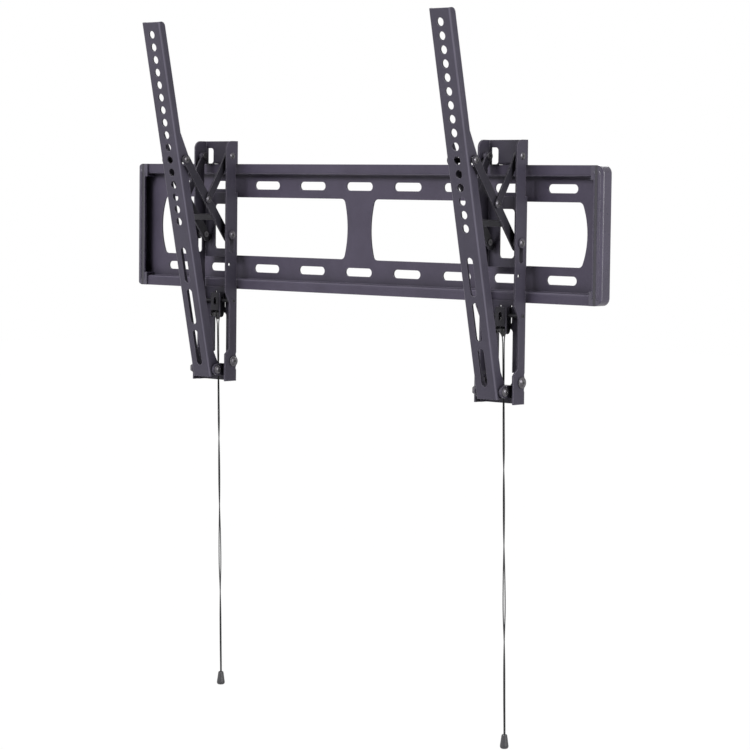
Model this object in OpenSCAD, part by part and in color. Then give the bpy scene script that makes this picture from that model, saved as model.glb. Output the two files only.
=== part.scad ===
// Tilting wall mount for a flat screen: a slotted wall plate with two folded rails, two
// carriers that hook over the top rail, and two perforated arms that tilt on scissor links.
// Axes: origin on the back of the wall plate, at its middle. X to the right, Z up,
// the wall is the plane Y = 0 and the screen side faces -Y. Sizes in millimetres.

/* [Wall plate] */
// Length of the folded wall plate
plate_len = 736; // [680:4:820]
// Height of the wall plate over both rail lips
plate_h = 151; // [140:1:180]
// Height of each rail lip, from the fold to its free edge
lip_h = 12.2; // [10:0.2:16]
// Distance from the wall to the front of the rails
rail_out = 13; // [11:0.5:18]
// Sheet thickness of the wall plate
plate_t = 2; // [1.5:0.1:3]
// Inside radius of every fold in the steel sheets
fold_r = 1; // [0.6:0.1:1.5]
// Distance between neighbouring wall slots
slot_pitch = 76.2; // [70:0.1:80]
// Number of wall slots in each row
slot_count = 9; // [5:2:9]
// Distance between the two rows of wall slots
row_gap = 100; // [90:1:104]
// Length of a wall slot
wall_slot_len = 42; // [30:1:50]
// Width of a wall slot
wall_slot_w = 9.7; // [7:0.1:12]
// Height of the two large windows
window_h = 70.6; // [50:1:76]
// Distance from the middle to the inner corners of a window
window_in = 24; // [20:1:40]
// Distance from the middle to the outer corners of a window
window_out = 332; // [300:1:334]
// How far the outer end of a window bows out
window_bow = 7.5; // [2:0.5:12]

/* [End caps] */
// Width of the moulded end caps, seen from the front
cap_w = 13; // [10:0.5:20]
// Wall thickness of the end caps
cap_t = 1.8; // [1.2:0.1:2.5]
// How far a cap reaches along each rail
cap_grip = 17; // [14:0.5:24]

/* [Carriers] */
// Position of the left carrier along the wall plate
left_x = -219; // [-300:1:-60]
// Position of the right carrier along the wall plate
right_x = 237; // [60:1:300]
// Width of a carrier over its flanges
carrier_w = 57; // [54:0.5:70]
// Distance from the wall to the front edge of the carrier flanges
carrier_out = 33.6; // [30:0.2:40]
// Sheet thickness of the carriers
carrier_t = 2; // [1.5:0.1:3]
// Height of the carrier above the middle of the plate
carrier_top = 103; // [98:1:120]
// Length of the carrier below the middle of the plate
carrier_drop = 187; // [184:1:220]

/* [Arms] */
// Length of an arm
arm_len = 431; // [340:1:500]
// Width of an arm over its flanges
arm_w = 30; // [26:0.5:31]
// Depth of the lower half of an arm, from its face to the edge of its flanges
arm_depth = 12; // [11:0.5:14]
// Depth of the upper half of an arm
arm_top_depth = 9.6; // [8:0.2:11]
// Sheet thickness of the arms
arm_t = 2; // [1.5:0.1:2.2]
// Distance between neighbouring round holes
arm_pitch = 15; // [12:0.5:18]
// Number of round holes in an arm
arm_holes = 16; // [6:1:18]
// Diameter of the round holes
arm_hole_d = 9.4; // [6:0.1:10]
// Length of the three long slots in an arm
arm_slot_len = 43.5; // [20:0.5:46]
// Width of the long slots in an arm
arm_slot_w = 9; // [6:0.1:10]

/* [Tilt linkage] */
// Height of the link pivot above the middle of the plate
link_pivot_z = 85; // [80:0.5:92]
// Distance from the wall to the link pivot and the sliding pin
link_pivot_out = 24; // [22:0.5:26]
// Length of a link between its pivots
link_len = 61; // [56:0.5:64]
// Length of the strut from its sliding pin to the link
strut_low = 53; // [50:0.5:56]
// Length of the strut from the link to its upper pin
strut_high = 58; // [54:0.5:62]
// Angle of the links from the vertical, as drawn
link_angle = 31; // [30:0.5:32]
// Width of the strut legs
strut_leg_w = 11; // [9:0.5:12]
// Width of the link bars
link_bar_w = 9; // [8:0.5:11]
// Distance from the wall to the arm pivot
arm_pivot_out = 37.4; // [36:0.2:39]
// Distance of the arm pivot below the middle of the plate
arm_pivot_drop = 173; // [168:1:176]
// Diameter of the pivot pins and bolts
pin_d = 6; // [5:0.1:6.5]

/* [Latches] */
// Travel of a latch when its cord is pulled
latch_travel = 7; // [6:0.5:7.5]
// Width of a latch over its cheeks
latch_w = 17; // [14:0.5:19]
// Sheet thickness of the latches
latch_t = 1.5; // [1:0.1:2]
// Diameter of the two latch pins
latch_pin_d = 4; // [3.5:0.1:4.2]
// Wire diameter of the latch springs
spring_wire = 0.7; // [0.5:0.1:0.8]

/* [Cords] */
// Diameter of one strand of the pull cord
cord_d = 1.2; // [1:0.1:1.4]
// Length of the left cord, from its pin to the top of the knob
left_cord_len = 438.5; // [300:0.5:520]
// Length of the right cord, from its pin to the top of the knob
right_cord_len = 449; // [300:0.5:520]
// Length of the knob at the end of a cord
knob_h = 16; // [12:0.5:20]
// Largest diameter of the knob
knob_d = 9.6; // [8:0.2:12]

/* [Clearances] */
// Gap between pieces that pass or seat on each other
gap = 0.3; // [0.2:0.05:0.4]
// Radial gap of a pin in its hole
pin_gap = 0.05; // [0.02:0.01:0.1]

/* [Hidden] */
$fn = 64;

// Charcoal powder coat, black plastic, dark zinc fasteners
steel_colour = [0.30, 0.29, 0.33];
plastic_colour = [0.20, 0.20, 0.22];
bolt_colour = [0.16, 0.16, 0.17];
cord_colour = [0.10, 0.10, 0.11];

// Wall plate
rail_fold_z = plate_h / 2 - lip_h;
window_r = 6;
window_in_bow = 5.5;
cap_corner_r = 9;
cap_edge_r = 4;
cap_tab_h = lip_h + 2 * cap_t;
// Under the caps the rail lips are cut lower, so that the caps lie flush with the rails
cap_lip_z = plate_h / 2 - cap_t - gap;
plate_corner_r = cap_corner_r - cap_t - gap;

// Carriers: back face, front face and inner width of the channel
web_back = rail_out + gap;
web_front = web_back + carrier_t;
carrier_in = carrier_w / 2 - carrier_t;
side_opening_w = carrier_w - 2 * carrier_t - 1;
hook_w = 27;
hook_drop = 10;
mid_window_w = 21.4;
low_window_w = 21;
bar_top = 41;
bar_mid = 27;
bar_low = 37;
plate_low = -plate_h / 2;
latch_bar_top = plate_low + 2;
latch_slot_top = plate_low - 3.5;
latch_slot_low = plate_low - 23;
latch_plate_low = -105;
low_window_bottom = 20 - carrier_drop;

// Arm pivot, its ears and the stack of washers
ear_in = arm_w / 2 + 2.5;
ear_t = 2;
ear_r = 7;
foot_rivet_z = -163;
foot_rivet_out = 20;
foot_rivet_d = 5;
foot_cheek_top = foot_rivet_z + 7;
foot_base_h = 20;

// Linkage, in the plane of the drawing: pivots at rest
strut_angle = asin(link_len * sin(link_angle) / strut_low);
strut_len = strut_low + strut_high;
joint_out = link_pivot_out + link_len * sin(link_angle);
joint_z = link_pivot_z - link_len * cos(link_angle);
slide_z = joint_z - strut_low * cos(strut_angle);
top_out = link_pivot_out + strut_len * sin(strut_angle);
top_z = joint_z + strut_high * cos(strut_angle);
strut_in = arm_w / 2 + 1.8;
strut_t = 2;
link_in = strut_in + strut_t + 0.5;
link_t = 2;
head_d = 8;
head_t = 1.2;
washer_t = 1.2;
washer_d = 11;
slide_head_d = 7;

// Arm in its own frame: pivot at the origin, face in front, up along +Z
arm_tilt = atan2(top_out - arm_pivot_out, top_z + arm_pivot_drop);
arm_face = 10;
arm_foot = 7;
top_margin = 14.7;
slot_gap = 7.3;
slot_first = 32;
top_pin_s = norm([top_out - arm_pivot_out, top_z + arm_pivot_drop]);
// At zero tilt the strut stands with its upper pin straight above the arm pivot
upright_strut = asin((arm_pivot_out - link_pivot_out) / strut_len);
upright_link = asin(strut_low * sin(upright_strut) / link_len);
upright_top_z = link_pivot_z - link_len * cos(upright_link) + strut_high * cos(upright_strut);
upright_s = upright_top_z + arm_pivot_drop;
slide_low_z = upright_top_z - strut_len * cos(upright_strut);
slide_clear = 0.5;
tilt_clear = 1;
tilt_shift = 0.6;

// Latch, in the plane of the drawing
latch_out = 24.5;
latch_top = plate_low - 5.1;
latch_bottom = plate_low - 26.5;
guide_out = 20;
guide_z = plate_low - 14.5;
cord_pin_out = 21.5;
cord_pin_z = plate_low - 31;
hook_tip_z = plate_low + 6;

// Cords: strand centres of the left cord, from over the latch pin down into the knob.
// Each point is [x from the carrier's middle, distance from the wall, height].
// Other cord lengths stretch the heights below the pin in proportion.
route_len = 438.5;
route_pin_z = -106.5;
knob_x = 12.7;
front_route = [
    [2.5, 21.5, -103.7], [2.5, 22.5, -103.7], [2.4, 23.9, -104.9], [2.3, 24.3, -106.5],
    [2.2, 23.9, -110], [2.1, 22.6, -118], [2.4, 22.2, -134], [3.5, 22.4, -160],
    [5.1, 21.6, -186], [5.8, 21.2, -212], [5.8, 20.6, -240], [5.3, 21.2, -268],
    [6.0, 21.8, -296], [7.6, 22.4, -324], [9.1, 21.8, -352], [10.4, 21.3, -382],
    [11.0, 21.0, -412], [9.8, 20.8, -442], [10.0, 21.5, -472], [11.1, 21.6, -508],
    [12.0, 21.5, -540], [12.0, 21.5, -552]
];
back_route = [
    [2.5, 21.5, -103.7], [2.5, 20.5, -103.7], [2.6, 19.1, -104.9], [2.7, 18.7, -106.5],
    [2.8, 19.1, -110], [3.3, 20.4, -118], [3.8, 20.8, -134], [3.9, 20.6, -160],
    [3.5, 21.4, -186], [4.0, 21.8, -212], [5.4, 22.4, -240], [7.1, 21.8, -268],
    [7.8, 21.2, -296], [7.4, 20.6, -324], [7.3, 21.2, -352], [7.4, 21.7, -382],
    [8.2, 22.0, -412], [10.8, 22.2, -442], [12.0, 21.5, -472], [12.5, 21.4, -508],
    [13.4, 21.5, -540], [13.4, 21.5, -552]
];

// Placing helpers

module along_x(from, to) {
    translate([from, 0, 0]) rotate([90, 0, 90]) linear_extrude(to - from) children();
}

module along_y(from, to) {
    translate([0, to, 0]) rotate([90, 0, 0]) linear_extrude(to - from) children();
}

// A rod or hole along X at a distance from the wall and a height
module cross_rod(out, z, d, from, to) {
    translate([from, -out, z]) rotate([0, 90, 0]) cylinder(h = to - from, d = d);
}

module both_sides() {
    children();
    mirror([1, 0, 0]) children();
}

module box(low, high) {
    translate(low) cube(high - low);
}

// Outlines

module stadium(length, width) {
    run = length - width;
    square([run, width], center = true);
    for (end = [-1, 1]) translate([end * run / 2, 0]) circle(d = width);
}

module round_rect(w, h, r) {
    square([w - 2 * r, h], center = true);
    square([w, h - 2 * r], center = true);
    for (sx = [-1, 1]) for (sy = [-1, 1]) translate([sx * (w / 2 - r), sy * (h / 2 - r)]) circle(r);
}

function unit(v) = v / norm(v);
function normal(v) = [-v[1], v[0]];
function turn(p, i) = acos(unit(p[i] - p[i - 1]) * unit(p[i + 1] - p[i]));
function setback(p, i, r) = i == 0 || i == len(p) - 1 ? 0 : r * tan(turn(p, i) / 2);

// Section of a folded sheet: straight runs along a centre line, round folds at its corners
module folded(p, t, r) {
    for (i = [0 : len(p) - 2]) {
        run = unit(p[i + 1] - p[i]);
        start = setback(p, i, r);
        length = norm(p[i + 1] - p[i]) - start - setback(p, i + 1, r);
        translate(p[i] + run * start) rotate(atan2(run[1], run[0]))
            translate([0, -t / 2]) square([length, t]);
    }
    for (i = [1 : len(p) - 2]) fold(p[i - 1], p[i], p[i + 1], t, r);
}

module fold(a, b, c, t, r) {
    u = unit(b - a);
    v = unit(c - b);
    side = sign(cross(u, v));
    centre = b - u * r * tan(acos(u * v) / 2) + side * r * normal(u);
    reach = 2 * (r + t);
    first = -side * normal(u);
    last = -side * normal(v);
    translate(centre) intersection() {
        difference() {
            circle(r + t / 2);
            circle(r - t / 2);
        }
        polygon([[0, 0], first * reach, (first + last) * reach, last * reach]);
    }
}

// Channel section: a web with two flanges, seen along its length
module channel(w, web, edge, t) {
    side = w / 2 - t / 2;
    line = web + sign(edge - web) * t / 2;
    folded([[-side, edge], [-side, line], [side, line], [side, edge]], t, fold_r + t / 2);
}

// Wall plate

function arc(c, r, from, to, steps) =
    let (turn = (to - from) / steps)
    [for (i = [0 : steps]) c + r * [cos(from + turn * i), sin(from + turn * i)]];
function bow_radius(half, bow) = (half * half + bow * bow) / (2 * bow);

// One end of a window: a shallow bow between two rounded corners, on the +X side
function window_end(corner_x, bow) =
    let (half = window_h / 2)
    let (big = bow_radius(half, bow))
    let (cx = corner_x + bow - big)
    let (corner_y = half - window_r)
    let (corner_c = cx + sqrt(pow(big - window_r, 2) - corner_y * corner_y))
    let (lean = atan2(corner_y, corner_c - cx))
    concat(
        arc([corner_c, -corner_y], window_r, -90, -lean, 6),
        arc([cx, 0], big, -lean, lean, 12),
        arc([corner_c, corner_y], window_r, lean, 90, 6)
    );

module window() {
    outer = window_end(window_out, window_bow);
    inner = [for (p = window_end(-window_in, window_in_bow)) [-2 * window_in - p[0], -p[1]]];
    polygon(concat(outer, [for (p = inner) [p[0] + 2 * window_in, p[1]]]));
}

module wall_plate() {
    line_y = -plate_t / 2;
    lip_y = plate_t / 2 - rail_out;
    fold_z = rail_fold_z + plate_t / 2;
    edge_z = plate_h / 2;
    color(steel_colour) difference() {
        along_x(-plate_len / 2, plate_len / 2)
            folded([[lip_y, edge_z], [lip_y, fold_z], [line_y, fold_z],
                    [line_y, -fold_z], [lip_y, -fold_z], [lip_y, -edge_z]],
                   plate_t, fold_r + plate_t / 2);
        along_y(-plate_t - 1, 1) {
            for (row = [-1, 1]) for (i = [0 : slot_count - 1])
                translate([(i - (slot_count - 1) / 2) * slot_pitch, row * row_gap / 2])
                    stadium(wall_slot_len, wall_slot_w);
            window();
            mirror([1, 0]) window();
        }
        // The lips step back and the four corners are rounded to sit inside the end caps
        along_y(-rail_out - 1, 1) for (mx = [0, 1]) for (mz = [0, 1])
            mirror([mx, 0]) mirror([0, mz]) plate_corner_cut();
    }
}

// What the upper right corner of the plate loses: a strip for the cap's lip and a rounding
module plate_corner_cut() {
    translate([plate_len / 2 + cap_t - cap_grip - gap, cap_lip_z]) square([cap_grip, cap_t + gap + 1]);
    translate([plate_len / 2 - plate_corner_r, cap_lip_z - plate_corner_r]) difference() {
        square(plate_corner_r + 1);
        circle(plate_corner_r);
    }
}

// End cap, drawn for the right end: a thin moulding that wraps the end of the folded plate

module cap_outline(inset) {
    end_x = plate_len / 2 + gap + cap_t;
    top_z = plate_h / 2;
    difference() {
        union() {
            translate([end_x - cap_w - inset, inset - top_z]) square([cap_w, 2 * (top_z - inset)]);
            for (s = [-1, 1])
                translate([end_x - cap_grip, s * (top_z - cap_tab_h / 2) - cap_tab_h / 2 + inset])
                    square([cap_grip - inset, cap_tab_h - 2 * inset]);
        }
        for (s = [-1, 1]) translate([end_x - cap_corner_r, s * (top_z - cap_corner_r)]) difference() {
            translate([0, s < 0 ? -cap_corner_r - 1 : 0]) square(cap_corner_r + 1);
            circle(cap_corner_r - inset);
        }
    }
}

module end_cap() {
    front = rail_out + gap + cap_t;
    end_x = plate_len / 2 + gap;
    straight_x = end_x + cap_t - cap_corner_r;
    lip_z = cap_lip_z + gap;
    color(plastic_colour) difference() {
        along_y(-front, -gap) cap_outline(0);
        // Room for the rails and the web of the plate
        along_y(-rail_out - gap, 1) intersection() {
            cap_outline(cap_t);
            translate([0, -plate_h]) square([end_x, 2 * plate_h]);
        }
        for (s = [-1, 1]) box([end_x - cap_grip - 1, -rail_out - gap, s < 0 ? -lip_z : rail_fold_z - gap],
                              [straight_x, 1, s < 0 ? gap - rail_fold_z : lip_z]);
        box([end_x - cap_grip - 1, -plate_t - gap, -lip_z], [straight_x, 1, lip_z]);
        // Rounded outer edge of the front
        translate([end_x + cap_t - cap_edge_r, cap_edge_r - front, -plate_h])
            linear_extrude(2 * plate_h) difference() {
                translate([0, -cap_edge_r - 1]) square(cap_edge_r + 1);
                circle(cap_edge_r);
            }
    }
}

// Carriers

// Side outline of the flanges: [distance from the wall, height], drawn to the left for -Y
module flange_outline() {
    front_r = 9;
    recess_out = carrier_out - 7;
    recess_top = latch_slot_top;
    recess_low = -148;
    difference() {
        translate([-carrier_out, -carrier_drop]) square([carrier_out - web_back, carrier_top + carrier_drop]);
        translate([-carrier_out, carrier_top]) difference() {
            translate([-1, -front_r]) square(front_r + 1);
            translate([front_r, -front_r]) circle(front_r);
        }
        // The front edge steps back beside the cord and comes forward again at the foot
        polygon([[-carrier_out - 1, recess_top], [-carrier_out, recess_top],
                 [-recess_out, recess_top - 13], [-recess_out, recess_low],
                 [-carrier_out, recess_low - 6], [-carrier_out - 1, recess_low - 6]]);
        // The upper and lower openings of the web run round the folds
        for (z = [[bar_top, plate_h / 2, 5.2], [latch_bar_top, -bar_low, 3]])
            translate([-web_back - z[2], z[0]]) square([z[2] + 1, z[1] - z[0]]);
        // Two small notches in the fold, above and below the foot rivet
        for (s = [-1, 1]) translate([-web_back, foot_rivet_z + s * 8.2]) circle(2.6);
    }
}

module web_cuts() {
    side_slot_w = 10.5;
    side_slot_h = 18.5;
    side_slot_z = 85.4;
    corner = 3.5;
    hook_fold_z = plate_h / 2 + gap + carrier_t + fold_r;
    // Two upright slots in the top tab, open towards the folds
    for (s = [-1, 1]) translate([s * 19.3, side_slot_z]) {
        round_rect(side_slot_w, side_slot_h, corner);
        translate([s * side_slot_w / 4, 0]) square([side_slot_w / 2, side_slot_h], center = true);
    }
    translate([0, (bar_top + plate_h / 2) / 2]) round_rect(side_opening_w, plate_h / 2 - bar_top, 2);
    translate([-hook_w / 2 - 0.5, bar_top + 5]) square([hook_w + 1, hook_fold_z - bar_top - 5]);
    round_rect(mid_window_w, 2 * bar_mid, 4);
    translate([0, (latch_bar_top - bar_low) / 2]) round_rect(side_opening_w, -latch_bar_top - bar_low, 2);
    // Two narrow slots let the hook arms of the latch through
    for (s = [-1, 1]) translate([s * (latch_w - latch_t) / 2, (latch_slot_top + latch_slot_low) / 2])
        square([latch_t + 1, latch_slot_top - latch_slot_low], center = true);
    translate([0, (latch_plate_low + low_window_bottom) / 2])
        round_rect(low_window_w, latch_plate_low - low_window_bottom, 4);
}

// The tongue that bends back over the top rail and down behind its lip
module rail_hook() {
    web_line = -web_back - carrier_t / 2;
    over_z = plate_h / 2 + gap + carrier_t / 2;
    behind = -rail_out + plate_t + 4;
    along_x(-hook_w / 2, hook_w / 2)
        folded([[web_line, over_z + 4], [web_line, over_z], [behind, over_z], [behind, over_z - hook_drop]],
               carrier_t, fold_r + carrier_t / 2);
}

module carrier() {
    color(steel_colour) {
        difference() {
            translate([0, 0, -carrier_drop]) linear_extrude(carrier_top + carrier_drop)
                channel(carrier_w, -web_back, -carrier_out, carrier_t);
            difference() {
                box([-carrier_w, -carrier_out - 1, -carrier_drop - 1], [carrier_w, 0, carrier_top + 1]);
                along_x(-carrier_w - 1, carrier_w + 1) flange_outline();
            }
            along_y(-web_front - 1, -web_back + 1) web_cuts();
            carrier_holes();
        }
        rail_hook();
    }
}

module carrier_holes() {
    far = carrier_w / 2 + 1;
    cross_rod(link_pivot_out, link_pivot_z, pin_d + 2 * pin_gap, -far, far);
    cross_rod(guide_out, guide_z, latch_pin_d + 2 * pin_gap, -far, far);
    cross_rod(foot_rivet_out, foot_rivet_z, foot_rivet_d + 2 * pin_gap, -far, far);
    cross_rod(27.6, -45.7, 4, -far, far);
    // Upright slots for the sliding pins of the strut
    along_x(-far, far) translate([-link_pivot_out, (slide_z + slide_low_z) / 2]) rotate(90)
        stadium(slide_z - slide_low_z + pin_d + 2 * slide_clear, pin_d + 2 * slide_clear);
}

// Foot bracket: a folded sheet between the flanges, with two ears that hold the arm
module foot_bracket() {
    half = carrier_in - gap;
    base_z = -carrier_drop;
    base_top = base_z + foot_base_h;
    cheek_out = foot_rivet_out + 7;
    color(steel_colour) difference() {
        union() {
            // Base on the web, with its sides folded forward against the flanges
            translate([0, 0, base_z]) linear_extrude(foot_base_h)
                channel(2 * half, -web_front, -cheek_out, ear_t);
            both_sides()
                box([half - ear_t, -cheek_out, base_top - 5], [half, -web_front - 0.6, foot_cheek_top]);
            both_sides() along_x(ear_in, ear_in + ear_t) {
                translate([-arm_pivot_out, -arm_pivot_drop]) circle(ear_r);
                translate([-arm_pivot_out, -arm_pivot_drop - ear_r])
                    square([arm_pivot_out - web_front, 2 * ear_r]);
            }
        }
        cross_rod(arm_pivot_out, -arm_pivot_drop, pin_d + 2 * pin_gap, -carrier_w, carrier_w);
        cross_rod(foot_rivet_out, foot_rivet_z, foot_rivet_d + 2 * pin_gap, -carrier_w, carrier_w);
        // The base is open between the ears, where they were folded out
        box([-ear_in, -web_front - ear_t - 1, -arm_pivot_drop - ear_r], [ear_in, 0, base_top + 1]);
        // Rounded front corners of the two cheeks
        along_x(-carrier_w, carrier_w) translate([-cheek_out, foot_cheek_top]) difference() {
            translate([-1, -5]) square(6);
            translate([5, -5]) circle(5);
        }
    }
}

// A low domed head on the +X side of a face
module dome(d, h, face_x, out, z) {
    sphere_r = (d * d / 4 + h * h) / (2 * h);
    translate([face_x, -out, z]) rotate([0, 90, 0]) intersection() {
        translate([0, 0, h - sphere_r]) sphere(sphere_r);
        cylinder(h = h, d = d);
    }
}

module hex_nut(across, h, bore, from, out, z) {
    difference() {
        translate([from, -out, z]) rotate([0, 90, 0]) cylinder(h = h, d = across / cos(30), $fn = 6);
        cross_rod(out, z, bore, from - 1, from + h + 1);
    }
}

// Rivets with a wide head outside each flange and a small one inside the cheek
module foot_rivets() {
    outer = carrier_w / 2 + gap / 2;
    inner = carrier_in - gap - ear_t - gap / 2;
    color(bolt_colour) both_sides() {
        cross_rod(foot_rivet_out, foot_rivet_z, 12.6, outer, outer + 1);
        dome(10.5, 2, outer + 1, foot_rivet_out, foot_rivet_z);
        cross_rod(foot_rivet_out, foot_rivet_z, foot_rivet_d, inner, outer);
        cross_rod(foot_rivet_out, foot_rivet_z, 8, inner - 1.2, inner);
    }
}

module arm_pivot_bolt() {
    face = ear_in + ear_t + gap / 2;
    color(bolt_colour) {
        difference() {
            union() {
                dome(10.4, 3, face, arm_pivot_out, -arm_pivot_drop);
                cross_rod(arm_pivot_out, -arm_pivot_drop, pin_d, -face - 4.6, face);
            }
            translate([face + 1, -arm_pivot_out, -arm_pivot_drop]) rotate([0, 90, 0])
                cylinder(h = 4, d = 4.6, $fn = 6);
        }
    }
}

module arm_pivot_nut() {
    face = ear_in + ear_t + gap / 2;
    color(bolt_colour)
        hex_nut(10, 4, pin_d + 2 * pin_gap, -face - 4, arm_pivot_out, -arm_pivot_drop);
}

module arm_pivot_washers() {
    space = ear_in - arm_w / 2;
    color(plastic_colour) both_sides() difference() {
        cross_rod(arm_pivot_out, -arm_pivot_drop, 12, arm_w / 2 + gap / 2, arm_w / 2 + space - gap / 2);
        cross_rod(arm_pivot_out, -arm_pivot_drop, pin_d + 2 * pin_gap, 0, carrier_w);
    }
}

// Tilt linkage

// Rivets that carry the upper ends of the links on the carrier flanges
module link_pivots() {
    outer = carrier_w / 2 + gap / 2;
    inner = link_in - gap / 2;
    color(bolt_colour) both_sides() {
        dome(head_d, head_t, outer, link_pivot_out, link_pivot_z);
        cross_rod(link_pivot_out, link_pivot_z, pin_d, inner, outer);
        cross_rod(link_pivot_out, link_pivot_z, head_d, inner - head_t, inner);
    }
}

module link_spacers() {
    color(plastic_colour) both_sides() difference() {
        cross_rod(link_pivot_out, link_pivot_z, head_d, link_in + link_t + gap / 2, carrier_in - gap / 2);
        cross_rod(link_pivot_out, link_pivot_z, pin_d + 2 * pin_gap, 0, carrier_w);
    }
}

// Moves a drawing of the linkage plane to a pivot and turns it to its rest angle
module at_pivot(out, z, angle) {
    translate([0, -out, z]) rotate([angle, 0, 0]) children();
}

module links() {
    color(steel_colour) both_sides() at_pivot(link_pivot_out, link_pivot_z, -link_angle)
        along_x(link_in, link_in + link_t) difference() {
            translate([0, -link_len / 2]) rotate(90) stadium(link_len + link_bar_w, link_bar_w);
            for (z = [0, -link_len]) translate([0, z]) circle(d = pin_d + 2 * pin_gap);
        }
}

module strut() {
    strap_h = 8;
    low_strap = -23;
    high_strap = strut_high - 18;
    tail = 4;
    reach = strut_len + strut_leg_w + tail;
    width = 2 * (strut_in + strut_t);
    edge = strut_leg_w / 2;
    color(steel_colour) at_pivot(joint_out, joint_z, strut_angle) {
        both_sides() along_x(strut_in, strut_in + strut_t) difference() {
            translate([0, strut_high + edge - reach / 2]) rotate(90) stadium(reach, strut_leg_w);
            for (z = [-strut_low, 0, strut_high]) translate([0, z]) circle(d = pin_d + 2 * pin_gap);
            for (z = [low_strap, high_strap])
                translate([-strut_leg_w, z - strap_h / 2]) square([2 * strut_leg_w, strap_h]);
        }
        // Both legs are one folded sheet, joined by a strap in front and one behind
        translate([0, 0, low_strap - strap_h / 2]) linear_extrude(strap_h)
            channel(width, -edge, edge, strut_t);
        translate([0, 0, high_strap - strap_h / 2]) linear_extrude(strap_h)
            channel(width, edge + 1, -edge, strut_t);
    }
}

module strut_top_pin() {
    face = strut_in + strut_t + gap / 2;
    color(bolt_colour) {
        cross_rod(top_out, top_z, pin_d, -face, face);
        both_sides() dome(head_d, head_t, face, top_out, top_z);
    }
}

module strut_mid_pins() {
    inner = strut_in - gap / 2;
    outer = link_in + link_t + gap / 2;
    color(bolt_colour) both_sides() {
        cross_rod(joint_out, joint_z, head_d, inner - head_t, inner);
        cross_rod(joint_out, joint_z, pin_d, inner, outer);
        dome(head_d, head_t, outer, joint_out, joint_z);
    }
}

module strut_slide_pins() {
    inner = strut_in - gap / 2;
    outer = carrier_w / 2 + gap + washer_t;
    color(bolt_colour) both_sides() {
        cross_rod(link_pivot_out, slide_z, slide_head_d, inner - 0.8, inner);
        cross_rod(link_pivot_out, slide_z, head_d, strut_in + strut_t + gap / 2, carrier_in - gap);
        cross_rod(link_pivot_out, slide_z, pin_d, inner, outer + gap / 2);
        dome(head_d, head_t, outer + gap / 2, link_pivot_out, slide_z);
    }
}

module slide_washers() {
    from = carrier_w / 2 + gap;
    color(plastic_colour) both_sides() difference() {
        cross_rod(link_pivot_out, slide_z, washer_d, from, from + washer_t);
        cross_rod(link_pivot_out, slide_z, pin_d + 2 * pin_gap, 0, carrier_w);
    }
}

// Arms

module in_arm_frame() {
    at_pivot(arm_pivot_out, -arm_pivot_drop, arm_tilt) children();
}

// Side outline of an arm: a shallow flange above, a deeper one below, an ear at each pivot
module arm_side() {
    top = arm_len - arm_foot;
    back = arm_depth - arm_face;
    upper_back = arm_top_depth - arm_face;
    corner = 6;
    ear_s = (top_pin_s + upright_s) / 2;
    difference() {
        union() {
            translate([-arm_face, -arm_foot]) square([arm_top_depth, arm_len]);
            translate([-arm_face, -arm_foot]) square([arm_depth, arm_foot + ear_s]);
            for (s = [0, ear_s]) {
                translate([0, s]) circle(ear_r);
                translate([0, s - ear_r]) square([back, ear_r]);
            }
            polygon([[-arm_face + 1, ear_s + 34], [upper_back, ear_s + 34],
                     [ear_r, ear_s + 5], [ear_r, ear_s], [-arm_face + 1, ear_s]]);
            polygon([[0, 22], [back, 22], [ear_r, 4], [ear_r, 0], [0, 0]]);
        }
        translate([upper_back, top]) difference() {
            translate([-corner, -corner]) square(corner + 1);
            translate([-corner, -corner]) circle(corner);
        }
    }
}

module arm() {
    top = arm_len - arm_foot;
    first_hole = top - top_margin;
    last_hole = first_hole - (arm_holes - 1) * arm_pitch;
    slot_top = last_hole - slot_first;
    travel = abs(top_pin_s - upright_s);
    clear = pin_d / 2 + tilt_clear;
    color(steel_colour) in_arm_frame() difference() {
        union() {
            intersection() {
                translate([0, 0, -arm_foot]) linear_extrude(arm_len)
                    channel(arm_w, -arm_face, ear_r + 1, arm_t);
                along_x(-arm_w, arm_w) arm_side();
            }
            // Foot of the face, folded back between the flanges
            along_x(-arm_w / 2 + arm_t, arm_w / 2 - arm_t)
                translate([arm_t / 2 - arm_face, -arm_foot]) square([6, arm_t]);
        }
        along_y(-arm_face - 1, -arm_face + arm_t + 1) {
            for (i = [0 : arm_holes - 1]) translate([0, first_hole - i * arm_pitch]) circle(d = arm_hole_d);
            for (i = [0 : 2])
                translate([0, slot_top - arm_slot_len / 2 - i * (arm_slot_len + slot_gap)]) rotate(90)
                    stadium(arm_slot_len, arm_slot_w);
        }
        cross_rod(0, 0, pin_d + 2 * pin_gap, -arm_w, arm_w);
        // The upper pin of the strut slides in a slot along the arm as the arm tilts
        along_x(-arm_w, arm_w) translate([-tilt_shift, (top_pin_s + upright_s) / 2])
            round_rect(2 * clear, travel + 2 * clear, clear - 0.01);
    }
}

// Latches

// Side outline of a cheek: front plate edge, hook arm behind the lower lip, ear for the cord pin
module latch_outline() {
    hook_front = rail_out - plate_t - 0.6;
    hook_back = hook_front - 3.6;
    cheek_back = web_front + 0.6;
    low = cord_pin_z - 4;
    polygon([[-latch_out, latch_top], [-hook_front, latch_top], [-hook_front, hook_tip_z],
             [1 - hook_front, hook_tip_z], [-hook_back, hook_tip_z - 6.5], [-hook_back, latch_top - 4],
             [-cheek_back, latch_top - 9], [-cheek_back, latch_bottom + 3], [-cord_pin_out + 4, low + 3],
             [-cord_pin_out + 2.6, low + 0.8], [-cord_pin_out, low], [-cord_pin_out - 2.6, low + 0.8],
             [-latch_out + 0.4, low + 2.4], [-latch_out, latch_bottom]]);
}

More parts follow.
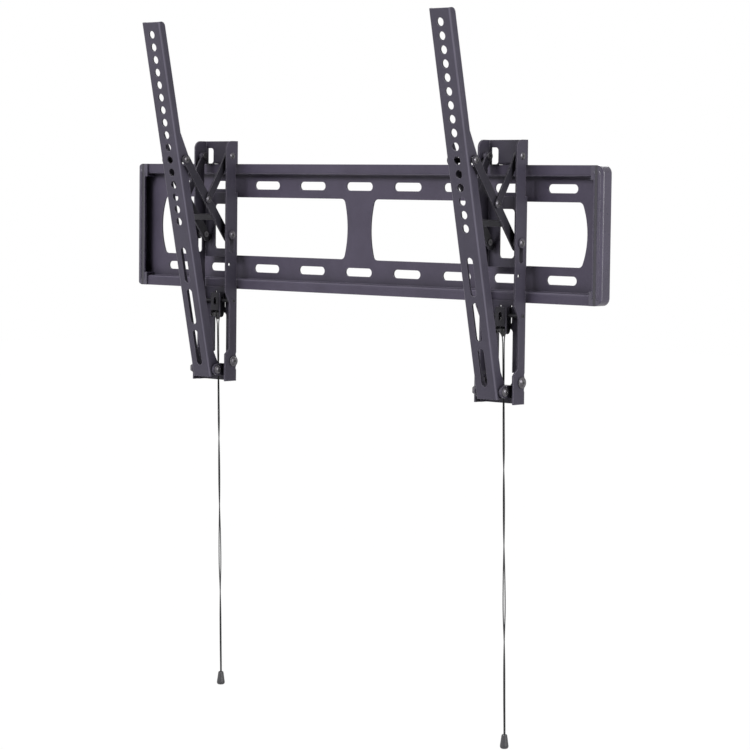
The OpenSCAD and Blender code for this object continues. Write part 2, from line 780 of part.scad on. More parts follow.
module latch() {
    far = latch_w / 2 + 1;
    inner = latch_w / 2 - latch_t;
    color(steel_colour) difference() {
        intersection() {
            translate([0, 0, cord_pin_z - 8.5]) linear_extrude(60) channel(latch_w, -latch_out, 0, latch_t);
            along_x(-latch_w, latch_w) latch_outline();
        }
        // The front plate ends above the cheeks' lower ears
        box([-inner, -latch_out - 1, cord_pin_z - 9], [inner, 0, latch_bottom]);
        box([-latch_w, -latch_out - 1, cord_pin_z - 9], [latch_w, -latch_out + 0.4, latch_bottom]);
        along_y(-latch_out - 1, -latch_out + latch_t + 1)
            translate([0, guide_z - 1]) rotate(90) stadium(9.5, 4.6);
        along_x(-far, far) translate([-guide_out, guide_z + latch_travel / 2]) rotate(90)
            stadium(latch_travel + latch_pin_d + 2 * gap, latch_pin_d + 2 * gap);
        cross_rod(cord_pin_out, cord_pin_z, latch_pin_d + 2 * pin_gap, -far, far);
    }
}

module latch_guide_pin() {
    face = carrier_w / 2 + 0.6;
    color(bolt_colour) cross_rod(guide_out, guide_z, latch_pin_d, -face, face);
}

module latch_cord_pin() {
    face = latch_w / 2 + 0.6;
    color(bolt_colour) cross_rod(cord_pin_out, cord_pin_z, latch_pin_d, -face, face);
}

// Sweep of an n-sided tube along a list of points

function ring_frame(p, i) =
    let (a = p[max(0, i - 1)])
    let (b = p[min(len(p) - 1, i + 1)])
    let (d = unit(b - a))
    let (side = unit(cross(d, abs(d[0]) > 0.9 ? [0, 1, 0] : [1, 0, 0])))
    [side, cross(d, side)];
function ring(p, i, r, n) =
    let (f = ring_frame(p, i))
    [for (k = [0 : n - 1]) p[i] + r * (cos(360 * k / n) * f[0] + sin(360 * k / n) * f[1])];

module tube(p, r, n) {
    rings = len(p);
    points = [for (i = [0 : rings - 1]) each ring(p, i, r, n)];
    sides = [for (i = [0 : rings - 2]) for (k = [0 : n - 1])
        [i * n + k, i * n + (k + 1) % n, (i + 1) * n + (k + 1) % n, (i + 1) * n + k]];
    first = [for (k = [n - 1 : -1 : 0]) k];
    last = [for (k = [0 : n - 1]) (rings - 1) * n + k];
    polyhedron(points, concat(sides, [first, last]));
}

// Extension spring between the two latch pins: a hook over each pin and close turns between
spring_turns = 6;
spring_r = 1.4;
spring_x = -4.2;
spring_out = 20.3;
spring_top = guide_z - 4.4;
spring_low = cord_pin_z + 4.4;
function spring_coil(i, steps) =
    let (a = 360 * spring_turns * i / steps)
    [spring_x + spring_r * sin(a), spring_r * cos(a) - spring_out,
     spring_top + (spring_low - spring_top) * i / steps];
function spring_hook(out, z, up) =
    let (r = latch_pin_d / 2 + spring_wire / 2 + 0.2)
    [for (a = [0 : 30 : 180]) [spring_x, r * (up > 0 ? -cos(a) : cos(a)) - out, z + up * r * sin(a)]];

module latch_spring() {
    steps = spring_turns * 10;
    color(bolt_colour) tube(concat(
        spring_hook(guide_out, guide_z, 1),
        [for (i = [0 : steps]) spring_coil(i, steps)],
        spring_hook(cord_pin_out, cord_pin_z, -1)
    ), spring_wire / 2, 6);
}

// Cords

module cord(route, length) {
    stretch = length / route_len;
    color(cord_colour)
        tube([for (q = route) [q[0], -q[1], cord_pin_z + (q[2] - route_pin_z) * stretch]], cord_d / 2, 8);
}

module cord_knob(length) {
    top_r = 2.6;
    low_r = knob_d / 2;
    hole_r = 1.7;
    hole_h = 7.6;
    round_r = 2.4;
    color(plastic_colour) translate([knob_x, -cord_pin_out, cord_pin_z - length - knob_h])
        rotate_extrude() difference() {
            union() {
                polygon([[0, 0], [low_r - round_r, 0], [low_r, round_r], [low_r, round_r + 1],
                         [top_r + 0.6, knob_h - 1], [top_r, knob_h], [0, knob_h]]);
                translate([low_r - round_r, round_r]) circle(round_r);
            }
            translate([0, knob_h - hole_h]) square([hole_r, hole_h + 1]);
        }
}

module on_left() {
    translate([left_x, 0, 0]) children();
}

module on_right() {
    translate([right_x, 0, 0]) children();
}

wall_plate();
mirror([1, 0, 0]) end_cap();  // end_cap_left
end_cap();  // end_cap_right
on_left() carrier();  // left_carrier
on_left() foot_bracket();  // left_foot_bracket
on_left() foot_rivets();  // left_foot_rivets
on_left() arm_pivot_bolt();  // left_arm_pivot_bolt
on_left() arm_pivot_nut();  // left_arm_pivot_nut
on_left() arm_pivot_washers();  // left_arm_pivot_washers
on_left() link_pivots();  // left_link_pivots
on_left() link_spacers();  // left_link_spacers
on_left() links();  // left_links
on_left() strut();  // left_strut
on_left() strut_top_pin();  // left_strut_top_pin
on_left() strut_mid_pins();  // left_strut_mid_pins
on_left() strut_slide_pins();  // left_strut_slide_pins
on_left() slide_washers();  // left_slide_washers
on_left() arm();  // left_arm
on_left() latch();  // left_latch
on_left() latch_guide_pin();  // left_latch_guide_pin
on_left() latch_cord_pin();  // left_latch_cord_pin
on_left() latch_spring();  // left_latch_spring
on_left() cord(front_route, left_cord_len);  // left_cord_front
on_left() cord(back_route, left_cord_len);  // left_cord_back
on_left() cord_knob(left_cord_len);  // left_cord_knob
on_right() carrier();  // right_carrier
on_right() foot_bracket();  // right_foot_bracket
on_right() foot_rivets();  // right_foot_rivets
on_right() arm_pivot_bolt();  // right_arm_pivot_bolt
on_right() arm_pivot_nut();  // right_arm_pivot_nut
on_right() arm_pivot_washers();  // right_arm_pivot_washers
on_right() link_pivots();  // right_link_pivots
on_right() link_spacers();  // right_link_spacers
on_right() links();  // right_links
on_right() strut();  // right_strut
on_right() strut_top_pin();  // right_strut_top_pin
on_right() strut_mid_pins();  // right_strut_mid_pins
on_right() strut_slide_pins();  // right_strut_slide_pins
on_right() slide_washers();  // right_slide_washers
on_right() arm();  // right_arm
on_right() latch();  // right_latch
on_right() latch_guide_pin();  // right_latch_guide_pin
on_right() latch_cord_pin();  // right_latch_cord_pin
on_right() latch_spring();  // right_latch_spring
on_right() cord(front_route, right_cord_len);  // right_cord_front
on_right() cord(back_route, right_cord_len);  // right_cord_back
on_right() cord_knob(right_cord_len);  // right_cord_knob
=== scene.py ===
"""Looks of the tilting wall mount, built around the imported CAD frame. Metres, the frame's own axes."""

import math

import bmesh
import bpy
import numpy as np
from mathutils import Matrix, Vector


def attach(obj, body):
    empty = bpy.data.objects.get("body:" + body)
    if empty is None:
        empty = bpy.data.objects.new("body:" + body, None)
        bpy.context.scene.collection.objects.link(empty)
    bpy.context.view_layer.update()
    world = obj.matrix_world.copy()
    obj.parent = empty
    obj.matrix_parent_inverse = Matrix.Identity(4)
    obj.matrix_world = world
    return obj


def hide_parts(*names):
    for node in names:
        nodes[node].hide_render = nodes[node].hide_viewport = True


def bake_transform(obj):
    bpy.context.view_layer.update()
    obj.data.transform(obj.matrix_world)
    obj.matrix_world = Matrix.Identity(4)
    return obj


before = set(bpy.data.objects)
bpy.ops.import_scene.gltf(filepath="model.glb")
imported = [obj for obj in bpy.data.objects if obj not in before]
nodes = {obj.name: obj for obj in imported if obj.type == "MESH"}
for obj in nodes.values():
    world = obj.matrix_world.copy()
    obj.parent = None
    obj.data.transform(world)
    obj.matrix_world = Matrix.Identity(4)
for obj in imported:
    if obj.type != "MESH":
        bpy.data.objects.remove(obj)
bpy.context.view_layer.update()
scene = bpy.context.scene

MM = 0.001
CARRIER_X = {"left": -219 * MM, "right": 237 * MM}
CORD_LENGTH = {"left": 438.5, "right": 449.0}  # pin to knob, mm


# Camera, fitted to the photo

FOCAL_PIXELS = 2683.58
IMAGE_WIDTH = 750
SENSOR_WIDTH = 36.0
CAMERA_AT = (2.15339, -2.27676, 0.04733)

camera_data = bpy.data.cameras.new("camera")
camera_data.sensor_fit = "HORIZONTAL"
camera_data.sensor_width = SENSOR_WIDTH
camera_data.lens = FOCAL_PIXELS / IMAGE_WIDTH * SENSOR_WIDTH
camera_data.clip_start = 0.05
camera_data.clip_end = 60
camera = bpy.data.objects.new("camera", camera_data)
scene.collection.objects.link(camera)
right = Vector((0.730126, 0.683211, 0.011771))
up = Vector((-0.055822, 0.042468, 0.997537))
turn = Matrix((right, up, right.cross(up))).transposed()
camera.matrix_world = Matrix.Translation(CAMERA_AT) @ turn.to_4x4()
scene.camera = camera


# Materials

PAINTED_FOLD_HIGHLIGHT = (0.21, 0.195, 0.25)
EDGE_WEAR_AND_HIGHLIGHT = (0.24, 0.22, 0.27)
CORNER_SHADE = (0.003, 0.003, 0.004)
MOULD_EDGE = (0.12, 0.115, 0.125)
WORN_METAL = (0.42, 0.41, 0.42)
DULL_ZINC = (0.085, 0.08, 0.09)
SOCKET_SHADE = (0.008, 0.008, 0.009)
WIRE_DARK = (0.10, 0.10, 0.105)
WIRE_LIGHT = (0.26, 0.255, 0.26)


class Graph:
    """A small helper that adds and links shader nodes."""

    def __init__(self, name):
        self.material = bpy.data.materials.new(name)
        self.material.use_nodes = True
        self.tree = self.material.node_tree
        self.shader = self.tree.nodes["Principled BSDF"]
        coords = self.tree.nodes.new("ShaderNodeTexCoord")
        self.place = coords.outputs["Object"]

    def add(self, kind, inputs=None, **props):
        node = self.tree.nodes.new(kind)
        for key, value in props.items():
            setattr(node, key, value)
        for key, value in (inputs or {}).items():
            if isinstance(value, bpy.types.NodeSocket):
                self.tree.links.new(value, node.inputs[key])
            else:
                node.inputs[key].default_value = value
        return node

    def noise(self, scale, detail=3.0, rough=0.5):
        inputs = {"Vector": self.place, "Scale": scale, "Detail": detail, "Roughness": rough}
        return self.add("ShaderNodeTexNoise", inputs).outputs["Fac"]

    def span(self, value, a, b, low, high):
        inputs = {"Value": value, "From Min": a, "From Max": b, "To Min": low, "To Max": high}
        return self.add("ShaderNodeMapRange", inputs).outputs["Result"]

    def math(self, op, a, b=0.0):
        return self.add("ShaderNodeMath", {0: a, 1: b}, operation=op).outputs[0]

    def times(self, a, b):
        return self.math("MULTIPLY", a, b)

    def mottle(self, noise, low, high):
        """Spreads the middle of a noise between two values."""
        return self.span(noise, 0.3, 0.7, low, high)

    def axis(self, source, index):
        """One coordinate of a vector, 0 to 2."""
        return self.add("ShaderNodeSeparateXYZ", {0: source}).outputs[index]

    def mix(self, factor, a, b):
        node = self.add("ShaderNodeMix", data_type="RGBA")
        for index, value in ((0, factor), (6, a), (7, b)):
            if isinstance(value, bpy.types.NodeSocket):
                self.tree.links.new(value, node.inputs[index])
            else:
                node.inputs[index].default_value = value
        return node.outputs[2]

    def link(self, source, name):
        self.tree.links.new(source, self.shader.inputs[name])

    def bump(self, height, strength, distance, normal=None, invert=False):
        inputs = {"Height": height, "Strength": strength, "Distance": distance}
        if normal:
            inputs["Normal"] = normal
        return self.add("ShaderNodeBump", inputs, invert=invert).outputs[0]

    def edges(self, radius):
        """Normal rounded over sharp edges, and a mask that is 1 on those edges."""
        bevel = self.add("ShaderNodeBevel", {"Radius": radius}, samples=4)
        geometry = self.add("ShaderNodeNewGeometry")
        pair = {0: bevel.outputs[0], 1: geometry.outputs["Normal"]}
        dot = self.add("ShaderNodeVectorMath", pair, operation="DOT_PRODUCT")
        mask = self.span(dot.outputs["Value"], 0.995, 0.9, 0.0, 1.0)
        return bevel.outputs[0], mask

    def corners(self, reach, dark):
        """A factor that falls to dark where other surfaces lie close by."""
        shade = self.add("ShaderNodeAmbientOcclusion", {"Distance": reach}, samples=6)
        return self.span(shade.outputs["AO"], 0.25, 0.9, dark, 1.0)

    def folds(self, across, along):
        """A mask that is 1 on the rounded folds, found from the object's own normal."""
        normal = self.add("ShaderNodeTexCoord").outputs["Normal"]
        turn = self.math("ABSOLUTE", self.axis(normal, across))
        rest = self.math("ABSOLUTE", self.axis(normal, along))
        band = self.times(self.span(turn, 0.35, 0.6, 0.0, 1.0), self.span(turn, 0.8, 0.95, 1.0, 0.0))
        return self.times(band, self.span(rest, 0.25, 0.4, 1.0, 0.0))


def rgba(color, k=1.0):
    return tuple(c * k for c in color) + (1.0,)


def coated_steel(name, color, rough=0.46, peel=1.0, fold=(0, 2)):
    """Satin powder coat: orange peel, faint cloudiness, painted highlights on the folds, edges paler from
    rubbed wear and painted highlight, shaded corners.
    """
    g = Graph(name)
    normal, edge = g.edges(0.0007)
    cloud = g.noise(22.0, 4.0, 0.6)
    speck = g.noise(2600.0, 2.0, 0.6)
    base = g.mix(g.mottle(cloud, 0.0, 1.0), rgba(color, 0.88), rgba(color, 1.12))
    base = g.mix(g.times(g.span(speck, 0.60, 0.72, 0.0, 1.0), 0.35), base, rgba(color, 1.9))
    # painted highlight along the rounded folds, where a fold would catch the light
    base = g.mix(g.times(g.folds(*fold), 0.3), base, rgba(PAINTED_FOLD_HIGHLIGHT))
    # edges paler: partly rubbed wear, partly painted highlight of thin bright edge lines
    base = g.mix(g.times(edge, 0.7), base, rgba(EDGE_WEAR_AND_HIGHLIGHT))
    base = g.mix(g.corners(0.018, 0.3), rgba(CORNER_SHADE), base)
    g.link(base, "Base Color")
    smear = g.noise(60.0, 5.0, 0.65)
    g.link(g.mottle(smear, rough - 0.05, rough + 0.07), "Roughness")
    g.shader.inputs["Specular IOR Level"].default_value = 0.2
    height = g.math("ADD", g.noise(900.0, 3.0, 0.5), g.times(speck, 0.4))
    g.link(g.bump(height, 0.22 * peel, 0.00012, normal), "Normal")
    return g.material


def moulded_plastic(name, color, rough=0.5, groove_shade=None):
    """Black moulding with a fine spark-eroded grain, paler edges and, if given, painted shade in a groove
    band at |x|.
    """
    g = Graph(name)
    normal, edge = g.edges(0.0005)
    cloud = g.noise(30.0, 3.0, 0.5)
    base = g.mix(g.mottle(cloud, 0.0, 1.0), rgba(color, 0.85), rgba(color, 1.15))
    base = g.mix(g.times(edge, 0.3), base, rgba(MOULD_EDGE))
    if groove_shade:
        start, end = groove_shade
        x = g.math("ABSOLUTE", g.axis(g.place, 0))
        in_groove_shade = g.times(g.span(x, start, start + MM, 0.0, 1.0), g.span(x, end - MM, end, 1.0, 0.0))
        # painted shade: the band between the cap ribs is darkened where shade would fall
        base = g.mix(g.times(in_groove_shade, 0.85), base, rgba(color, 0.25))
    g.link(base, "Base Color")
    g.link(g.mottle(g.noise(140.0, 4.0, 0.6), rough - 0.06, rough + 0.08), "Roughness")
    grain = g.add("ShaderNodeTexVoronoi", {"Vector": g.place, "Scale": 1700.0}).outputs["Distance"]
    g.link(g.bump(grain, 0.25, 0.0001, normal), "Normal")
    return g.material


def zinc(name, color, rough=0.32, socket=None, across=0.0):
    """Black zinc fasteners: metal with tool marks, brighter worn edges and an optional hexagon socket, made
    by a bump with its inside painted dark as shade.
    """
    g = Graph(name)
    normal, edge = g.edges(0.0003)
    stain = g.noise(350.0, 4.0, 0.6)
    base = g.mix(g.mottle(stain, 0.0, 1.0), rgba(color, 0.7), rgba(color, 1.3))
    base = g.mix(g.times(edge, 0.6), base, rgba(WORN_METAL))
    if socket:
        dy = g.math("ABSOLUTE", g.math("SUBTRACT", g.axis(g.place, 1), socket[0]))
        dz = g.math("ABSOLUTE", g.math("SUBTRACT", g.axis(g.place, 2), socket[1]))
        slope = g.math("ADD", g.times(dy, 0.866), g.times(dz, 0.5))
        hexagon = g.math("MAXIMUM", dz, slope)
        hole = g.span(hexagon, across * 0.46, across * 0.56, 1.0, 0.0)
        around = g.math("SUBTRACT", 1.0, hole)
        rim = g.times(g.span(hexagon, across * 0.5, across * 0.62, 1.0, 0.0), around)
        base = g.mix(g.times(rim, 0.6), base, rgba(WORN_METAL))
        # painted shade: the socket's inside is coloured near black and is not metallic
        base = g.mix(hole, base, rgba(SOCKET_SHADE))
        normal = g.bump(hole, 1.0, 0.0005, normal, invert=True)
        g.link(g.times(around, 0.75), "Metallic")
    else:
        g.shader.inputs["Metallic"].default_value = 0.75
    g.link(base, "Base Color")
    g.link(g.mottle(g.noise(500.0, 4.0, 0.6), rough - 0.08, rough + 0.12), "Roughness")
    g.link(g.bump(g.noise(1500.0, 3.0, 0.6), 0.2, 0.0001, normal), "Normal")
    return g.material


def axis_of(name):
    """Where the axis of a cross pin meets the side view: the middle of the node's box in Y and Z."""
    points = np.array([v.co for v in nodes[name].data.vertices])
    low, high = points.min(0), points.max(0)
    return float(low[1] + high[1]) / 2, float(low[2] + high[2]) / 2


def braid(name, color):
    """Braided cord: a fine diagonal weave along the strand."""
    g = Graph(name)
    waves = []
    for tilt in (0.75, -0.75):
        turn = g.add("ShaderNodeMapping", {"Vector": g.place, "Rotation": (0.0, tilt, 0.0)})
        inputs = {"Vector": turn.outputs[0], "Scale": 900.0, "Distortion": 0.6, "Detail": 1.0}
        waves.append(g.add("ShaderNodeTexWave", inputs, bands_direction="Z").outputs["Fac"])
    weave = g.math("MAXIMUM", waves[0], waves[1])
    g.link(g.mix(weave, rgba(color, 0.5), rgba(color, 1.5)), "Base Color")
    g.link(g.mottle(g.noise(400.0), 0.7, 0.9), "Roughness")
    g.shader.inputs["Sheen Weight"].default_value = 0.05
    g.link(g.bump(weave, 0.6, 0.0002), "Normal")
    return g.material


def spring_wire(name):
    """Drawn steel wire, lightly stained."""
    g = Graph(name)
    stain = g.noise(600.0, 3.0, 0.6)
    g.link(g.mix(stain, rgba(WIRE_DARK), rgba(WIRE_LIGHT)), "Base Color")
    g.shader.inputs["Metallic"].default_value = 1.0
    g.link(g.mottle(stain, 0.25, 0.42), "Roughness")
    g.link(g.bump(g.noise(2500.0, 2.0), 0.15, 0.00005), "Normal")
    return g.material


# Band of |x| between the end cap's ribs that gets painted shade
CAP_GROOVE_SHADE = (0.3584, 0.3630)
PLATE = coated_steel("coated_plate", (0.056, 0.048, 0.073), 0.44, fold=(2, 0))
CARRIER = coated_steel("coated_carrier", (0.047, 0.042, 0.060), 0.42)
ARM = coated_steel("coated_arm", (0.050, 0.045, 0.064), 0.40)
LINK = coated_steel("coated_links", (0.027, 0.025, 0.033), 0.40, 0.8)
PLASTIC = moulded_plastic("black_moulding", (0.040, 0.035, 0.052), 0.48)
CAP = moulded_plastic("end_cap_moulding", (0.044, 0.037, 0.061), 0.3, groove_shade=CAP_GROOVE_SHADE)
KNOB = moulded_plastic("knob_moulding", (0.030, 0.029, 0.032), 0.42)
ZINC = zinc("black_zinc", (0.10, 0.095, 0.105))
BRAID = braid("braided_cord", (0.006, 0.006, 0.007))
DARK_PIN = zinc("blackened_pins", (0.025, 0.024, 0.028), 0.45)
WIRE = spring_wire("drawn_wire")

LOOK = {
    "wall_plate": PLATE, "carrier": CARRIER, "foot_bracket": CARRIER, "arm": ARM, "links": LINK,
    "strut": LINK, "latch": LINK, "end_cap_left": CAP, "end_cap_right": CAP, "arm_pivot_washers": PLASTIC,
    "link_spacers": PLASTIC, "slide_washers": PLASTIC, "cord_knob": KNOB, "latch_spring": WIRE,
    "cord_front": BRAID, "cord_back": BRAID, "latch_guide_pin": DARK_PIN, "latch_cord_pin": DARK_PIN,
}
SOCKET_ACROSS = {
    "link_pivots": 3.2, "strut_mid_pins": 3.2, "strut_top_pin": 3.2, "strut_slide_pins": 3.2,
    "foot_rivets": 3.6,
}
for short, across in SOCKET_ACROSS.items():
    name = f"black_zinc_{short}"
    LOOK[short] = zinc(name, DULL_ZINC, 0.34, axis_of(f"left_{short}"), across * MM)
for name, obj in nodes.items():
    short = name.split("_", 1)[1] if name.startswith(("left_", "right_")) else name
    obj.data.materials.clear()
    obj.data.materials.append(LOOK.get(short, ZINC))


# Cords

PIN_Z = -106.5
ROUTE_LENGTH = 438.5
STRAND_D = 1.3
STRANDS_APART = 1.34
MOST_PULL = 0.33
CLIP_END_Z = -112

# Points of the two strands in mm: sideways from the carrier's middle, out from the wall, and up.
FRONT = [
    (2.5, 21.5, -103.7), (2.5, 22.5, -103.7), (2.4, 23.9, -104.9), (2.3, 24.3, -106.5),
    (2.2, 23.9, -110), (2.1, 22.6, -118), (2.4, 22.2, -134), (3.5, 22.4, -160),
    (5.1, 21.6, -186), (5.8, 21.2, -212), (5.8, 20.6, -240), (5.3, 21.2, -268),
    (6.0, 21.8, -296), (7.6, 22.4, -324), (9.1, 21.8, -352), (10.4, 21.3, -382),
    (11.0, 21.0, -412), (9.8, 20.8, -442), (10.0, 21.5, -472), (11.1, 21.6, -508),
    (12.0, 21.5, -540), (12.0, 21.5, -552),
]
BACK = [
    (2.5, 21.5, -103.7), (2.5, 20.5, -103.7), (2.6, 19.1, -104.9), (2.7, 18.7, -106.5),
    (2.8, 19.1, -110), (3.3, 20.4, -118), (3.8, 20.8, -134), (3.9, 20.6, -160),
    (3.5, 21.4, -186), (4.0, 21.8, -212), (5.4, 22.4, -240), (7.1, 21.8, -268),
    (7.8, 21.2, -296), (7.4, 20.6, -324), (7.3, 21.2, -352), (7.4, 21.7, -382),
    (8.2, 22.0, -412), (10.8, 22.2, -442), (12.0, 21.5, -472), (12.5, 21.4, -508),
    (13.4, 21.5, -540), (13.4, 21.5, -552),
]


def smooth(points, steps=6):
    """Catmull-Rom curve through the points."""
    pts = [points[0]] + list(points) + [points[-1]]
    out = []
    for i in range(1, len(pts) - 2):
        a, b, c, d = (np.array(p, float) for p in pts[i - 1 : i + 3])
        for k in range(steps):
            t = k / steps
            bend = (2 * a - 5 * b + 4 * c - d) * t**2
            twist = (3 * b - a - 3 * c + d) * t**3
            out.append(0.5 * (2 * b + (c - a) * t + bend + twist))
    out.append(np.array(points[-1], float))
    return out


def link_object(name, data, material):
    obj = bpy.data.objects.new(name, data)
    scene.collection.objects.link(obj)
    obj.data.materials.append(material)
    return obj


def strand(name, path):
    """One strand of a pull cord, as a round curve."""
    data = bpy.data.curves.new(name, "CURVE")
    data.dimensions = "3D"
    data.bevel_depth = STRAND_D / 2 * MM
    data.bevel_resolution = 3
    data.use_fill_caps = True
    spline = data.splines.new("POLY")
    spline.points.add(len(path) - 1)
    for point, at in zip(spline.points, path):
        point.co = (*at, 1.0)
    return link_object(name, data, BRAID)


def pulled_together(route, other):
    """Moves the hanging points of a strand a little towards the other strand, until they almost touch."""
    out = []
    for a, b in zip(route, other):
        gap = math.dist(a, b)
        if a[2] < CLIP_END_Z and gap > STRANDS_APART:
            shift = min(MOST_PULL, (gap - STRANDS_APART) / 2)
            a = tuple(p + (q - p) * shift / gap for p, q in zip(a, b))
        out.append(a)
    return out


for side, x0 in CARRIER_X.items():
    stretch = CORD_LENGTH[side] / ROUTE_LENGTH
    for label, route, other in (("front", FRONT, BACK), ("back", BACK, FRONT)):
        points = [
            (x0 + x * MM, -out * MM, (PIN_Z + (z - PIN_Z) * stretch) * MM)
            for x, out, z in pulled_together(route, other)
        ]
        path = smooth(points)
        piece = strand(f"{side}_{label}_strand", path)
        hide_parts(f"{side}_cord_{label}")
        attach(piece, f"{side}_latch_set")


# Small pieces


def tube_mesh(name, path, radius, sides, material):
    """A closed round tube along a path whose first step isn't along X, with rings that don't twist."""
    path = [np.array(p, float) for p in path]
    verts, faces = [], []
    side = np.cross(path[1] - path[0], (1.0, 0.0, 0.0))
    for i, p in enumerate(path):
        d = path[min(len(path) - 1, i + 1)] - path[max(0, i - 1)]
        d /= np.linalg.norm(d)
        side = side - d * float(side @ d)
        side /= np.linalg.norm(side)
        other = np.cross(d, side)
        for k in range(sides):
            a = 2 * math.pi * k / sides
            verts.append(tuple(p + radius * (math.cos(a) * side + math.sin(a) * other)))
    for i in range(len(path) - 1):
        for k in range(sides):
            n = (k + 1) % sides
            faces.append((i * sides + k, i * sides + n, (i + 1) * sides + n, (i + 1) * sides + k))
    faces.append(tuple(range(sides - 1, -1, -1)))
    last = (len(path) - 1) * sides
    faces.append(tuple(last + k for k in range(sides)))
    mesh = bpy.data.meshes.new(name)
    mesh.from_pydata(verts, [], faces)
    for polygon in mesh.polygons:
        polygon.use_smooth = len(polygon.vertices) == 4
    mesh.update()
    return link_object(name, mesh, material)


def spring(side, x0):
    """Extension spring: close turns between two hooks over the latch pins."""
    guide, pin = (20.0, -90.0), (21.5, PIN_Z)
    x, coil_r, out, hook_r, wire_r = -4.2, 1.4, 20.3, 2.55, 0.35
    top, low, turns, steps_a_turn, sides = -94.4, -102.1, 9, 14, 8
    hook = [(hook_r * math.cos(a), hook_r * math.sin(a)) for a in np.linspace(0, math.pi, 13)]
    path = [(x, -c - guide[0], guide[1] + h) for c, h in hook]
    steps = turns * steps_a_turn
    for i in range(steps + 1):
        a = 2 * math.pi * turns * i / steps
        path.append((x + coil_r * math.sin(a), coil_r * math.cos(a) - out, top + (low - top) * i / steps))
    path += [(x, c - pin[0], pin[1] - h) for c, h in hook]
    path = [(x0 + p[0] * MM, p[1] * MM, p[2] * MM) for p in path]
    piece = tube_mesh(f"{side}_spring_wire", path, wire_r * MM, sides, WIRE)
    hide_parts(f"{side}_latch_spring")
    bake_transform(piece)


def join_rings(form, rings):
    """Joins rings of points into a closed body: a quad between each two points and a face at each end."""
    for low, high in zip(rings, rings[1:]):
        for i in range(len(low)):
            j = (i + 1) % len(low)
            form.faces.new((low[i], low[j], high[j], high[i]))
    form.faces.new(rings[0])
    form.faces.new(rings[-1])


def to_mesh(name, form):
    """Turns the faces outwards and stores the form as a mesh."""
    mesh = bpy.data.meshes.new(name)
    bmesh.ops.recalc_face_normals(form, faces=form.faces)
    form.to_mesh(mesh)
    form.free()
    return mesh


def cord_clip(side, x0):
    """Moulded clip on the latch's cord pin: it tapers to the place where the two strands leave it."""
    outline = [
        (-3.0, -104.6), (6.4, -104.6), (6.6, -107.0), (4.4, -111.0),
        (3.4, -113.2), (1.6, -113.2), (0.4, -111.0), (-3.2, -107.4),
    ]
    back, front, edge_r = 19.2, 24.0, 0.7
    form = bmesh.new()
    rings = [[form.verts.new((x0 + x * MM, -out * MM, z * MM)) for x, z in outline] for out in (back, front)]
    join_rings(form, rings)
    piece = link_object(f"{side}_cord_clip", to_mesh(f"{side}_cord_clip", form), KNOB)
    edge = piece.modifiers.new("rounding", "BEVEL")
    edge.width = edge_r * MM
    edge.segments = 3
    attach(piece, f"{side}_latch_set")


def cap_ribs(side, direction):
    """Two moulded half-round ribs down the front face of an end cap, the outer one wider."""
    face, straight, end_run, sunk = 15.1, 64.0, 5.5, 0.3
    taper = [(math.sin(math.radians(a)), math.cos(math.radians(a))) for a in range(0, 85, 14)]
    ends = [(straight + end_run * far, size) for far, size in taper]
    stations = [(-z, size) for z, size in reversed(ends)] + ends
    arc = [(math.cos(math.radians(a)), math.sin(math.radians(a))) for a in range(0, 181, 15)]
    form = bmesh.new()
    for centre, half, rise in ((357.9, 0.8, 0.5), (364.6, 2.1, 1.0)):
        rings = []
        for z, size in stations:
            ring = [(centre + half * size * c, face + rise * size * h) for c, h in arc]
            ring += [(centre + edge * half * size, face - sunk) for edge in (-1, 1)]
            rings.append([form.verts.new((direction * x * MM, -out * MM, z * MM)) for x, out in ring])
        join_rings(form, rings)
    for polygon in form.faces:
        polygon.smooth = len(polygon.verts) == 4
    piece = link_object(f"{side}_cap_ribs", to_mesh(f"{side}_cap_ribs", form), CAP)
    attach(piece, "wall")


for side, x0 in CARRIER_X.items():
    spring(side, x0)
    cord_clip(side, x0)
    cap_ribs(side, -1 if side == "left" else 1)


# Light and stage


WORLD_LIGHT = 0.09
FLOOR_Z = -1.6
FLOOR_HALF = 20
FLOOR_GLOW = 1.03
GLOW_SHARE = 0.97


def area(name, at, aim, size, power):
    """A white rectangular soft box that points at a place."""
    data = bpy.data.lights.new(name, "AREA")
    data.shape = "RECTANGLE"
    data.size, data.size_y = size
    data.energy = power
    obj = bpy.data.objects.new(name, data)
    obj.location = at
    obj.rotation_euler = (Vector(aim) - Vector(at)).to_track_quat("-Z", "Y").to_euler()
    scene.collection.objects.link(obj)


def math_node(tree, operation, a, b):
    """A math node on two sockets, or on a socket and a number."""
    node = tree.nodes.new("ShaderNodeMath")
    node.operation = operation
    tree.links.new(a, node.inputs[0])
    if isinstance(b, bpy.types.NodeSocket):
        tree.links.new(b, node.inputs[1])
    else:
        node.inputs[1].default_value = b
    return node.outputs[0]


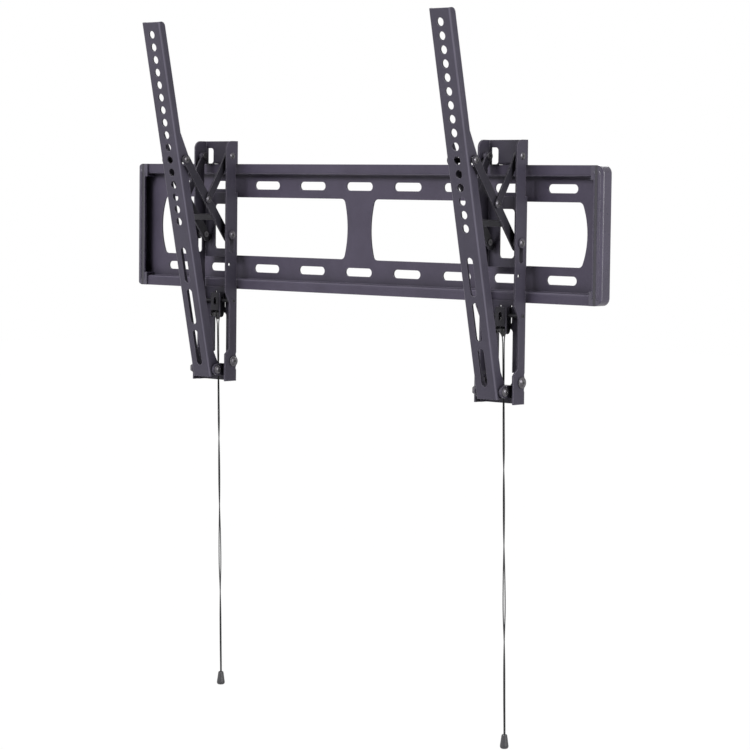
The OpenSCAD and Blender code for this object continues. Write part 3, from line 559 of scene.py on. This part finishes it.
def seen_directly(tree):
    """1 for rays that come from the camera, off gloss or through glass, else 0."""
    rays = tree.nodes.new("ShaderNodeLightPath").outputs
    direct = math_node(tree, "MAXIMUM", rays["Is Camera Ray"], rays["Is Glossy Ray"])
    return math_node(tree, "MAXIMUM", direct, rays["Is Transmission Ray"])


area("key", (-0.5, -3.0, 1.8), (0, 0, -0.05), (1.6, 1.3), 128)
area("side", (3.1, -0.3, 0.8), (0, 0, -0.05), (1.1, 1.5), 84)
area("low_fill", (-2.2, -2.6, -0.3), (0, 0, -0.1), (1.8, 1.6), 6)
area("rear", (-1.3, 3.0, 1.2), (0, 0, -0.05), (1.8, 1.4), 50)

world = bpy.data.worlds.new("world")
scene.world = world
world.use_nodes = True
tree = world.node_tree
strength = tree.nodes.new("ShaderNodeMapRange")
strength.inputs["To Min"].default_value = WORLD_LIGHT
strength.inputs["To Max"].default_value = 1.0
tree.links.new(seen_directly(tree), strength.inputs["Value"])
background = tree.nodes["Background"]
background.inputs["Color"].default_value = (1, 1, 1, 1)
tree.links.new(strength.outputs["Result"], background.inputs["Strength"])

floor_mesh = bpy.data.meshes.new("floor")
corners = [(x * FLOOR_HALF, y * FLOOR_HALF, FLOOR_Z) for x, y in ((-1, -1), (1, -1), (1, 1), (-1, 1))]
floor_mesh.from_pydata(corners, [], [(0, 1, 2, 3)])
paint = bpy.data.materials.new("floor_paint")
paint.use_nodes = True
tree = paint.node_tree
shade = tree.nodes["Principled BSDF"]
shade.inputs["Base Color"].default_value = (0.9, 0.9, 0.9, 1)
shade.inputs["Roughness"].default_value = 0.9
glow = tree.nodes.new("ShaderNodeEmission")
glow.inputs["Strength"].default_value = FLOOR_GLOW
blend = tree.nodes.new("ShaderNodeMixShader")
share = math_node(tree, "MULTIPLY", seen_directly(tree), GLOW_SHARE)
tree.links.new(share, blend.inputs[0])
tree.links.new(shade.outputs[0], blend.inputs[1])
tree.links.new(glow.outputs[0], blend.inputs[2])
tree.links.new(blend.outputs[0], tree.nodes["Material Output"].inputs["Surface"])
floor = link_object("floor", floor_mesh, paint)

scene.view_settings.view_transform = "Standard"
